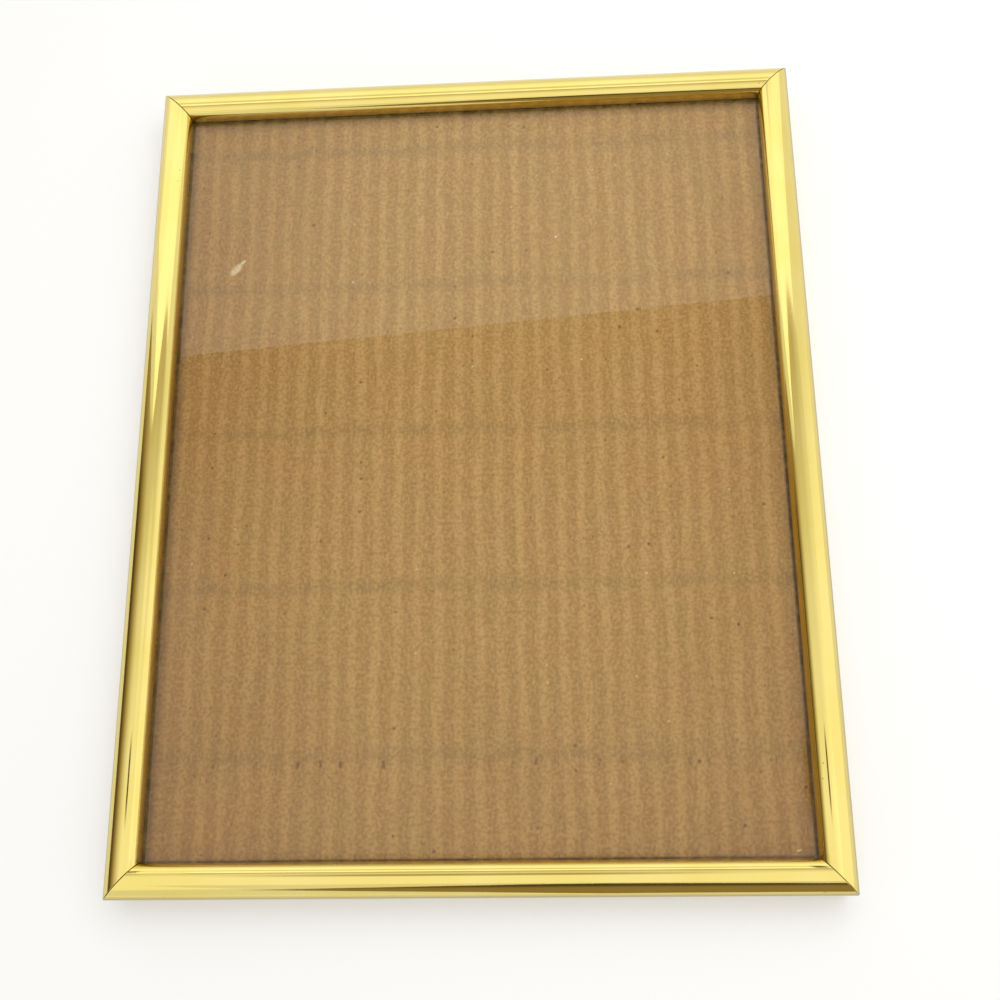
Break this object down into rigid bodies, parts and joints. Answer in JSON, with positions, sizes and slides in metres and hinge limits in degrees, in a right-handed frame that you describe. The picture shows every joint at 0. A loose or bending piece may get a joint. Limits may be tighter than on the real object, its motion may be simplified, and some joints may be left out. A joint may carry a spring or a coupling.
{
  "type": "picture frame",
  "caption": "Portrait picture frame of mitred gold bead rails with glass over corrugated board, and an easel back with folding strut, turn buttons and hanging rings.",
  "frame": {"origin": "middle of the rear plane that the frame lies on, under the centre of the glass", "axes": "+X to the picture's right, +Y to the picture's top edge, +Z out of the glass"},
  "size_m": [0.2112, 0.262, 0.0177],
  "materials": {
    "gold_rail": "gold anodised and polished, hairline scratches, bare metal at the cut corners",
    "zinc_plate": "zinc plated, dull",
    "nickel_plate": "nickel plated, bright",
    "clear_glass": "clear float glass, polished",
    "kraft_board": "brown kraft liner with flute stripes, finger lines and fibre specks",
    "covered_board": "hardboard covered in black grained paper"
  },
  "bodies": {
    "frame": {"rail_bottom": "gold_rail", "rail_right": "gold_rail", "rail_top": "gold_rail", "rail_left": "gold_rail", "corner_key_bottom_left": "zinc_plate", "corner_key_bottom_right": "zinc_plate", "corner_key_top_right": "zinc_plate", "corner_key_top_left": "zinc_plate", "glass_pane": "clear_glass", "corrugated_filler": "kraft_board", "back_panel": "covered_board", "button_rivet_right_upper": "nickel_plate", "button_rivet_right_lower": "nickel_plate", "button_rivet_top_right": "nickel_plate", "button_rivet_top_left": "nickel_plate", "button_rivet_left_upper": "nickel_plate", "button_rivet_left_lower": "nickel_plate", "button_rivet_bottom_left": "nickel_plate", "button_rivet_bottom_right": "nickel_plate", "hinge_panel_leaf": "nickel_plate", "hinge_pin": "zinc_plate", "hinge_panel_rivet_1": "nickel_plate", "hinge_panel_rivet_2": "nickel_plate", "hinge_panel_rivet_3": "nickel_plate", "hanger_strap_portrait": "nickel_plate", "hanger_strap_landscape": "nickel_plate", "hanger_rivet_portrait": "nickel_plate", "hanger_rivet_landscape": "nickel_plate"},
    "strut": {"easel_strut": "covered_board", "hinge_strut_leaf": "nickel_plate", "hinge_strut_rivet_1": "nickel_plate", "hinge_strut_rivet_2": "nickel_plate", "hinge_strut_rivet_3": "nickel_plate"},
    "button_right_upper": {"turn_button_right_upper": "nickel_plate"},
    "button_right_lower": {"turn_button_right_lower": "nickel_plate"},
    "button_top_right": {"turn_button_top_right": "nickel_plate"},
    "button_top_left": {"turn_button_top_left": "nickel_plate"},
    "button_left_upper": {"turn_button_left_upper": "nickel_plate"},
    "button_left_lower": {"turn_button_left_lower": "nickel_plate"},
    "button_bottom_left": {"turn_button_bottom_left": "nickel_plate"},
    "button_bottom_right": {"turn_button_bottom_right": "nickel_plate"},
    "portrait_ring": {"hanger_ring_portrait": "nickel_plate"},
    "landscape_ring": {"hanger_ring_landscape": "nickel_plate"}
  },
  "joints": [
    {"name": "strut_fold", "type": "hinge", "parent": "frame", "child": "strut", "pos_m": [0, 0.0555, 0.0027], "axis": [1, 0, 0], "range_deg": [0, 25]},
    {"name": "turn_right_upper", "type": "hinge", "parent": "frame", "child": "button_right_upper", "pos_m": [0.0891, 0.075, 0.004], "axis": [0, 0, 1], "continuous": true},
    {"name": "turn_right_lower", "type": "hinge", "parent": "frame", "child": "button_right_lower", "pos_m": [0.0891, -0.075, 0.004], "axis": [0, 0, 1], "continuous": true},
    {"name": "turn_top_right", "type": "hinge", "parent": "frame", "child": "button_top_right", "pos_m": [0.065, 0.1145, 0.004], "axis": [0, 0, 1], "continuous": true},
    {"name": "turn_top_left", "type": "hinge", "parent": "frame", "child": "button_top_left", "pos_m": [-0.065, 0.1145, 0.004], "axis": [0, 0, 1], "continuous": true},
    {"name": "turn_left_upper", "type": "hinge", "parent": "frame", "child": "button_left_upper", "pos_m": [-0.0891, 0.075, 0.004], "axis": [0, 0, 1], "continuous": true},
    {"name": "turn_left_lower", "type": "hinge", "parent": "frame", "child": "button_left_lower", "pos_m": [-0.0891, -0.075, 0.004], "axis": [0, 0, 1], "continuous": true},
    {"name": "turn_bottom_left", "type": "hinge", "parent": "frame", "child": "button_bottom_left", "pos_m": [-0.065, -0.1145, 0.004], "axis": [0, 0, 1], "continuous": true},
    {"name": "turn_bottom_right", "type": "hinge", "parent": "frame", "child": "button_bottom_right", "pos_m": [0.065, -0.1145, 0.004], "axis": [0, 0, 1], "continuous": true},
    {"name": "portrait_ring_swing", "type": "hinge", "parent": "frame", "child": "portrait_ring", "pos_m": [0, 0.1075, 0.0027], "axis": [-1, 0, 0], "range_deg": [0, 170]},
    {"name": "landscape_ring_swing", "type": "hinge", "parent": "frame", "child": "landscape_ring", "pos_m": [0.0821, 0, 0.0027], "axis": [0, 1, 0], "range_deg": [0, 170]}
  ]
}
